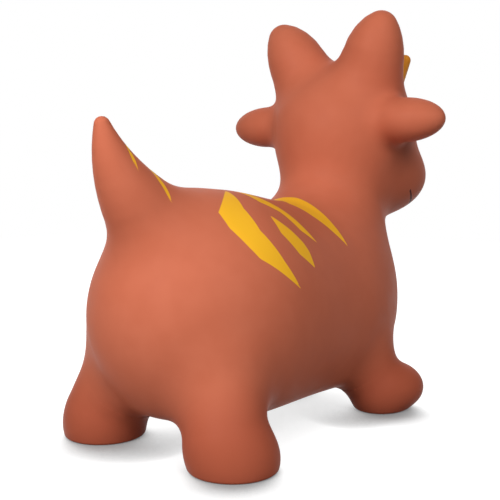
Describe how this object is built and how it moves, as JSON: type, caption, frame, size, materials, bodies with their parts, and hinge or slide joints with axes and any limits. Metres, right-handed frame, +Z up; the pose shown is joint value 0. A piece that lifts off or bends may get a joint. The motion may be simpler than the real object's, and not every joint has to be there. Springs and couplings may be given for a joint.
{
  "type": "bouncy animal hopper",
  "caption": "Blown-up vinyl ride-on hopper shaped like a stout horned animal, terracotta with yellow stripes, ears as handles and a raised tail",
  "frame": {"origin": "on the floor, under the middle of the toy's length and width", "axes": "+Z up, -Y the way the animal faces, +X the animal's left"},
  "size_m": [0.326, 0.5886, 0.5054],
  "materials": {
    "vinyl_skin": "soft matte vinyl with a fine moulded grain and painted stripes",
    "horn_paint": "soft matte vinyl, painted amber",
    "valve_plastic": "moulded off-white plastic"
  },
  "bodies": {
    "torso": {"torso": "vinyl_skin", "leg_rear_left": "vinyl_skin", "leg_rear_right": "vinyl_skin", "leg_front_left": "vinyl_skin", "leg_front_right": "vinyl_skin", "neck": "vinyl_skin", "tail_root": "vinyl_skin", "valve_seat": "valve_plastic"},
    "head": {"head": "vinyl_skin", "frill_left": "vinyl_skin", "frill_right": "vinyl_skin", "horn_left": "horn_paint", "horn_right": "horn_paint", "ear_root_left": "vinyl_skin", "ear_root_right": "vinyl_skin"},
    "ear_left": {"ear_left": "vinyl_skin"},
    "ear_right": {"ear_right": "vinyl_skin"},
    "tail": {"tail": "vinyl_skin"},
    "foot_rear_left": {"foot_rear_left": "vinyl_skin"},
    "foot_rear_right": {"foot_rear_right": "vinyl_skin"},
    "foot_front_left": {"foot_front_left": "vinyl_skin"},
    "foot_front_right": {"foot_front_right": "vinyl_skin"},
    "stopper": {"valve_stopper": "valve_plastic"}
  },
  "joints": [
    {"name": "foot_rear_left_squash", "type": "slide", "parent": "torso", "child": "foot_rear_left", "axis": [0, 0, 1], "range_m": [0, 0.012], "stiffness_N_per_m": 2000, "deforming": ["leg_rear_left"]},
    {"name": "foot_rear_right_squash", "type": "slide", "parent": "torso", "child": "foot_rear_right", "axis": [0, 0, 1], "range_m": [0, 0.012], "stiffness_N_per_m": 2000, "deforming": ["leg_rear_right"]},
    {"name": "foot_front_left_squash", "type": "slide", "parent": "torso", "child": "foot_front_left", "axis": [0, 0, 1], "range_m": [0, 0.012], "stiffness_N_per_m": 2000, "deforming": ["leg_front_left"]},
    {"name": "foot_front_right_squash", "type": "slide", "parent": "torso", "child": "foot_front_right", "axis": [0, 0, 1], "range_m": [0, 0.012], "stiffness_N_per_m": 2000, "deforming": ["leg_front_right"]},
    {"name": "head_nod", "type": "hinge", "parent": "torso", "child": "head", "pos_m": [0, -0.1256, 0.2515], "axis": [1, 0, 0], "range_deg": [-8, 8], "stiffness_Nm_per_rad": 60, "deforming": ["neck"]},
    {"name": "ear_left_bend", "type": "hinge", "parent": "head", "child": "ear_left", "pos_m": [0.11, -0.1289, 0.3663], "axis": [0, -1, 0], "range_deg": [-20, 20], "stiffness_Nm_per_rad": 1, "deforming": ["ear_root_left"]},
    {"name": "ear_right_bend", "type": "hinge", "parent": "head", "child": "ear_right", "pos_m": [-0.11, -0.1289, 0.3663], "axis": [0, 1, 0], "range_deg": [-20, 20], "stiffness_Nm_per_rad": 1, "deforming": ["ear_root_right"]},
    {"name": "tail_bend", "type": "hinge", "parent": "torso", "child": "tail", "pos_m": [0, 0.2419, 0.2688], "axis": [1, 0, 0], "range_deg": [-15, 15], "stiffness_Nm_per_rad": 2, "deforming": ["tail_root"]},
    {"name": "stopper_pull", "type": "slide", "parent": "torso", "child": "stopper", "axis": [0, 0, -1], "range_m": [0, 0.02], "stiffness_N_per_m": 20}
  ]
}
